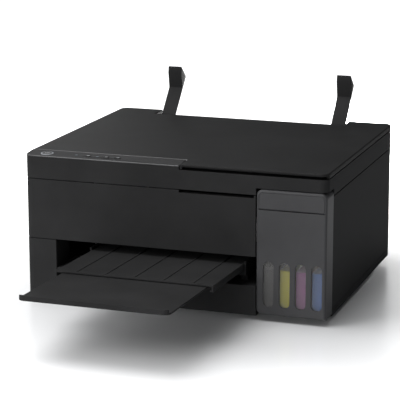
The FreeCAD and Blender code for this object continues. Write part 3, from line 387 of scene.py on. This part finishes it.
# Electronics: a green glass-fibre board screwed to the pan, with black chips
# soldered to its top.
def between(finish, axis, low, high):
    """A mask that is one where a place along an axis lies between two values."""
    nodes, links = finish.node_tree.nodes, finish.node_tree.links
    axes = nodes.new("ShaderNodeSeparateXYZ")
    links.new(nodes["Texture Coordinate"].outputs["Object"], axes.inputs["Vector"])
    mask = nodes.new("ShaderNodeMath")
    mask.operation = "COMPARE"
    mask.inputs[1].default_value = (low + high) / 2
    mask.inputs[2].default_value = (high - low) / 2
    links.new(axes.outputs[axis], mask.inputs[0])
    return mask.outputs["Value"]


board_top, chips_end = 0.0203, 0.0603
board_green = moulded("board_green", (0.012, 0.09, 0.035), 0.42, grain=700.0, depth=0.0001)
chips = between(board_green, "Z", board_top, chips_end)
overlaid(board_green, chips, (0.015, 0.015, 0.016), metal=False)
dress(board_green, "main_board")

# Outer shells: two side covers, the rear panel, the feed hump and the front
# cover, black ABS snapped and screwed to the pan.
shells = ("left_side_cover", "right_side_cover", "rear_panel", "front_cover", "rear_feed_cover")
for shell in shells:
    eased(shell, case_black, 0.0008)
screw_black = plated("screw_black", (0.05, 0.05, 0.052), 0.45, (1.0, 1.0, 1.0), 300.0)
dress(screw_black, "case_screws")


# Cooling louvres: three rows of rounded upright fins moulded on the rear panel,
# one on each side of the feed hump and one under it.
def fin_row(first, count, low, high):
    """Fins side by side, the first one modelled and the others copied."""
    half, pitch = 0.0008, 0.0038
    root, tip = 0.1596, 0.1612
    fin = bar("fin", (first - half, root, low), (first + half, tip, high), 0.0005, case_black)
    row = [fin]
    for n in range(1, count):
        twin = fin.copy()
        twin.data = fin.data.copy()
        bpy.context.scene.collection.objects.link(twin)
        bpy.ops.object.select_all(action="DESELECT")
        twin.select_set(True)
        bpy.context.view_layer.objects.active = twin
        twin.location.x = pitch * n
        bpy.ops.object.transform_apply(location=True)
        row.append(twin)
    return row


joined("rear_fins_left", fin_row(-0.1665, 9, 0.062, 0.104), "base")
joined("rear_fins_right", fin_row(0.1361, 9, 0.062, 0.104), "base")
joined("rear_fins_low", fin_row(0.0300, 16, 0.022, 0.048), "base")


# Sockets: the mains inlet and the data socket, glossy black nylon let into the
# rear panel, with bright pins inside the inlet.
def where_both(finish, first, second):
    """A mask that is one where two masks are."""
    mask = finish.node_tree.nodes.new("ShaderNodeMath")
    mask.operation = "MULTIPLY"
    finish.node_tree.links.new(first, mask.inputs[0])
    finish.node_tree.links.new(second, mask.inputs[1])
    return mask.outputs["Value"]


socket_nylon = moulded("socket_nylon", (0.011, 0.011, 0.0115), 0.32, gloss=0.35)
pin_row = where_both(
    socket_nylon,
    between(socket_nylon, "X", 0.1372, 0.1508),
    between(socket_nylon, "Z", 0.0313, 0.0347),
)
pins = where_both(socket_nylon, pin_row, between(socket_nylon, "Y", 0.1512, 0.1712))
overlaid(socket_nylon, pins, (0.62, 0.60, 0.55), metal=True)
dress(socket_nylon, "rear_sockets")

# Exit guide and output tray: a flat tray of black ABS under the exit that
# slides in, with low ribs along it and a leaf that draws out of it.
eased("exit_frame", inner_black, 0.0004)
eased("output_tray", case_black, 0.0005)
eased("tray_extension", case_black, 0.0005)
tray_slope, tray_middle = math.radians(-2.0), (0.0, -0.143, 0.065)
ridge_half, ridge_edge = 0.0012, 0.00035
tray_ribs = [
    bar("tray_rib", (x - ridge_half, -0.119, -0.0004), (x + ridge_half, 0.024, 0.0007),
        ridge_edge, case_black)
    for x in (-0.078, -0.043, -0.008, 0.027, 0.062)
]
for rib in tray_ribs:
    bpy.ops.object.select_all(action="DESELECT")
    rib.select_set(True)
    bpy.context.view_layer.objects.active = rib
    rib.rotation_euler.x = tray_slope
    rib.location = tray_middle
    bpy.ops.object.transform_apply(location=True, rotation=True, scale=True)
joined("tray_ribs", tray_ribs, "tray")

# Rear feed: the leaning support with hooked arms, the feed plate below it and
# the two sliding edge guides, all moulded in black ABS.
for plate in ("paper_support", "feed_plate", "edge_guide_left", "edge_guide_right"):
    eased(plate, case_black, 0.0008)

# Ink tank housing: a grey satin moulding screwed to the front right, with a
# door of the same plastic over the fillers.
tank_grey = moulded("tank_grey", (0.046, 0.046, 0.0483), 0.42, gloss=0.15)
dress(tank_grey, "tank_housing", "tank_cover")


# Sight windows and bottles: clear plastic over translucent bottles that show
# how high each ink stands.
def clear(name, colour, roughness, cover):
    """Clear moulded plastic or glass, as a thin tinted skin."""
    finish = moulded(name, colour, roughness, grain=400.0, depth=0.00001, gloss=0.5)
    finish.node_tree.nodes["Principled BSDF"].inputs["Alpha"].default_value = cover
    return finish


dress(clear("window_clear", (0.19, 0.187, 0.185), 0.16, 0.2), "sight_windows")
dress(clear("bottle_clear", (0.4, 0.4, 0.4), 0.3, 0.1), "ink_tanks")

# Inks and filler caps: four liquid inks in their bottles, and rubbery caps
# pushed into the spouts, each moulded in a deeper tone of its ink.
ink_tones = {
    "black": (0.04, 0.04, 0.041),
    "yellow": (0.64, 0.59, 0.03),
    "magenta": (0.32, 0.095, 0.28),
    "cyan": (0.03, 0.14, 0.44),
}
cap_depth_of_tone = 0.6
for tone, colour in ink_tones.items():
    cap_colour = tuple(c * cap_depth_of_tone for c in colour)
    dress(moulded("ink_" + tone, colour, 0.25, depth=0.00001), "ink_" + tone)
    dress(moulded("cap_" + tone, cap_colour, 0.45), "cap_" + tone)

# Scanner: the upper tray of black ABS on its rear hinges, with the bed frame,
# the glass cemented in it and the light bar that runs under the glass.
eased("scanner_base", case_black, 0.0008)
eased("scanner_bed", inner_black, 0.0004)
eased("scan_bar", inner_black, 0.0005)
dress(inner_black, "scanner_hinges", "lid_hinges")
dress(clear("bed_glass", (0.03, 0.034, 0.033), 0.06, 0.22), "scanner_glass")

# Control panel: a thin satin moulding clipped on the front left of the scanner,
# with four sprung buttons and its lights, and a painted highlight along its front lip.
panel_black = moulded("panel_black", (0.027, 0.027, 0.0277), 0.52, gloss=0.06)
# A lighter grey given to edge faces: a painted highlight along the panel's front lip and the
# lid's front edge.
panel_edge_highlight = moulded("panel_edge_highlight", (0.11, 0.11, 0.1125), 0.34, gloss=0.12)
panel = eased("control_panel", panel_black, 0.0009)
panel.data.materials.append(panel_edge_highlight)
# Forward-facing faces of the front lip take the lighter grey, a painted highlight line.
lip_back, lip_tilt = -0.158, -0.2
for face in panel.data.polygons:
    if face.center.y < lip_back and face.normal.y < lip_tilt:
        face.material_index = 1
button_black = moulded("button_black", (0.02, 0.02, 0.0205), 0.4, gloss=0.07)
dress(button_black, "power_button", "wifi_button", "mono_copy_button", "colour_copy_button")
ring_ends, lenses_start, ring_glow = -0.131, -0.129, 0.14
light_white = moulded("light_white", (0.72, 0.73, 0.75), 0.3)
light_nodes, light_links = light_white.node_tree.nodes, light_white.node_tree.links
light_skin = light_nodes["Principled BSDF"]
light_skin.inputs["Emission Color"].default_value = (0.95, 0.97, 1.0, 1.0)
light_axes = light_nodes.new("ShaderNodeSeparateXYZ")
light_links.new(light_nodes["Texture Coordinate"].outputs["Object"], light_axes.inputs["Vector"])
ring_mask = light_nodes.new("ShaderNodeMapRange")
ring_mask.inputs["From Min"].default_value = ring_ends
ring_mask.inputs["From Max"].default_value = lenses_start
ring_mask.inputs["To Min"].default_value = ring_glow
ring_mask.inputs["To Max"].default_value = 0.0
light_links.new(light_axes.outputs["X"], ring_mask.inputs["Value"])
light_links.new(ring_mask.outputs["Result"], light_skin.inputs["Emission Strength"])
lens_tone = light_nodes.new("ShaderNodeMix")
lens_tone.data_type = "RGBA"
lens_tone.inputs["A"].default_value = (0.10, 0.115, 0.13, 1.0)
light_links.new(ring_mask.outputs["Result"], lens_tone.inputs["Factor"])
light_links.new(light_skin.inputs["Base Color"].links[0].from_socket, lens_tone.inputs["B"])
light_links.new(lens_tone.outputs["Result"], light_skin.inputs["Base Color"])
dress(light_white, "panel_lights")

# Panel marks: small signs pad-printed in pale grey ink on the button tops,
# plain symbols of their kind.
print_grey = moulded("print_grey", (0.42, 0.43, 0.44), 0.5, depth=0.00001)
ink_thick = 0.00006


def thickened(made, place):
    """A flat sign given the thickness of its ink and laid at its place."""
    bpy.ops.mesh.select_all(action="SELECT")
    bpy.ops.mesh.normals_make_consistent(inside=False)
    bpy.ops.mesh.extrude_region_move(TRANSFORM_OT_translate={"value": (0.0, 0.0, ink_thick)})
    bpy.ops.mesh.select_all(action="SELECT")
    bpy.ops.mesh.normals_make_consistent(inside=False)
    bpy.ops.object.mode_set(mode="OBJECT")
    made.location = place
    bpy.ops.object.transform_apply(location=True)
    made.data.materials.append(print_grey)
    return made


def ring_mark(place, outer, inner, start, stop):
    """A printed ring, or the part of it between two angles in degrees."""
    bpy.ops.object.select_all(action="DESELECT")
    bpy.ops.mesh.primitive_circle_add(
        vertices=48, radius=outer, fill_type="NOTHING", location=(0, 0, 0))
    made = bpy.context.object
    bpy.ops.object.mode_set(mode="EDIT")
    bpy.ops.mesh.select_all(action="SELECT")
    bpy.ops.mesh.extrude_edges_move()
    bpy.ops.transform.resize(value=(inner / outer, inner / outer, 1.0))
    bpy.ops.object.mode_set(mode="OBJECT")
    for face in made.data.polygons:
        turn = math.degrees(math.atan2(face.center.y, face.center.x)) % 360.0
        face.select = not (start <= turn <= stop)
    bpy.ops.object.mode_set(mode="EDIT")
    bpy.ops.mesh.select_mode(type="FACE")
    bpy.ops.mesh.delete(type="FACE")
    return thickened(made, place)


def page_mark(place, wide, tall, line):
    """A printed outline of a page with one cut corner."""
    bpy.ops.object.select_all(action="DESELECT")
    bpy.ops.mesh.primitive_plane_add(size=1.0, location=(0, 0, 0))
    made = bpy.context.object
    made.scale = (wide, tall, 1.0)
    bpy.ops.object.transform_apply(scale=True)
    for vertex in made.data.vertices:
        vertex.select = vertex.co.x > 0 and vertex.co.y > 0
    bpy.ops.object.mode_set(mode="EDIT")
    bpy.ops.mesh.select_mode(type="VERT")
    bpy.ops.mesh.bevel(offset=wide * 0.35, segments=1, affect="VERTICES")
    bpy.ops.mesh.select_all(action="SELECT")
    bpy.ops.mesh.inset(thickness=line, depth=0.0)
    bpy.ops.mesh.delete(type="FACE")
    return thickened(made, place)


button_top = 0.17838
ring_wide = (0.0026, 0.0020)
all_round = (-1.0, 361.0)
power_spot = (-0.163, -0.147, button_top)
stroke_low = (-0.16332, -0.1466, button_top)
stroke_high = (-0.16268, -0.1440, button_top + ink_thick)
joined("power_mark", [
    ring_mark(power_spot, *ring_wide, -1.0, 62.0),
    ring_mark(power_spot, *ring_wide, 118.0, 361.0),
    bar("power_stroke", stroke_low, stroke_high, 0.00002, print_grey),
], "power_button")
radio_spot = (-0.110, -0.1482, button_top)
joined("radio_mark", [
    ring_mark(radio_spot, 0.0026, 0.0021, 48.0, 132.0),
    ring_mark(radio_spot, 0.0017, 0.0012, 48.0, 132.0),
    ring_mark(radio_spot, 0.0006, 0.0002, *all_round),
], "wifi_button")
page_size = (0.0021, 0.0027, 0.0003)
joined("mono_copy_mark", [
    page_mark((-0.0874, -0.1473, button_top), *page_size),
    page_mark((-0.0865, -0.1466, button_top), *page_size),
], "mono_copy_button")
joined("colour_copy_mark", [
    page_mark((-0.0724, -0.1473, button_top), *page_size),
    page_mark((-0.0715, -0.1466, button_top), *page_size),
    ring_mark((-0.0720, -0.1484, button_top), 0.0005, 0.0002, *all_round),
], "colour_copy_button")

# Document lid: a thin plate moulded in black ABS and hinged at the back, with a
# finger grip on the front right and a painted highlight along its front edge beside the panel.
lid_black = moulded("lid_black", (0.0142, 0.0142, 0.0145), 0.52, gloss=0.06)
lid = eased("document_cover", lid_black, 0.0012)
lid.data.materials.append(panel_edge_highlight)
# Front- and up-facing faces of the lid's front edge left of the grip take the lighter grey of
# the panel lip, a painted highlight line.
seam_front, seam_back, seam_right = -0.136, -0.130, 0.012
seam_tilt, seam_rise = -0.2, 0.15
for face in lid.data.polygons:
    facing = face.normal.y < seam_tilt and face.normal.z > seam_rise
    if facing and seam_front < face.center.y < seam_back and face.center.x < seam_right:
        face.material_index = 1

# Lid mat: a white foam backing under the lid that presses on the glass,
# stuck on by its back, a little crowned and drawn in along its sides.
mat_edge, mat_drawn_in, mat_crown = 0.0009, 0.0012, 0.0007
mat_white = moulded("mat_white", (0.74, 0.74, 0.73), 0.7, grain=900.0, depth=0.00012, drift=0.02)
mat_low, mat_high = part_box("lid_mat")
bpy.ops.object.select_all(action="DESELECT")
bpy.ops.mesh.primitive_cube_add(size=1.0, location=(mat_low + mat_high) / 2)
mat = bpy.context.object
mat.name = "lid_foam_mat"
mat.scale = mat_high - mat_low
bpy.ops.object.transform_apply(location=True, rotation=True, scale=True)
bpy.ops.object.mode_set(mode="EDIT")
bpy.ops.mesh.select_all(action="SELECT")
bpy.ops.mesh.bevel(offset=mat_edge, segments=3, affect="EDGES")
bpy.ops.mesh.select_all(action="SELECT")
bpy.ops.mesh.subdivide(number_cuts=14, smoothness=0.0)
bpy.ops.object.mode_set(mode="OBJECT")
mat_centre, mat_half = (mat_low + mat_high) / 2, (mat_high - mat_low) / 2
for point in mat.data.vertices:
    u = (point.co.x - mat_centre.x) / mat_half.x
    v = (point.co.y - mat_centre.y) / mat_half.y
    point.co.x -= mat_drawn_in * u * (1.0 - v * v)
    point.co.y -= mat_drawn_in * v * (1.0 - u * u)
    if point.co.z < mat_centre.z:
        point.co.z += mat_crown * max(u * u, v * v) ** 3
bpy.ops.object.shade_smooth_by_angle(angle=math.radians(40.0))
mat.data.materials.append(mat_white)
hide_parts("lid_mat")
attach(mat, "lid")
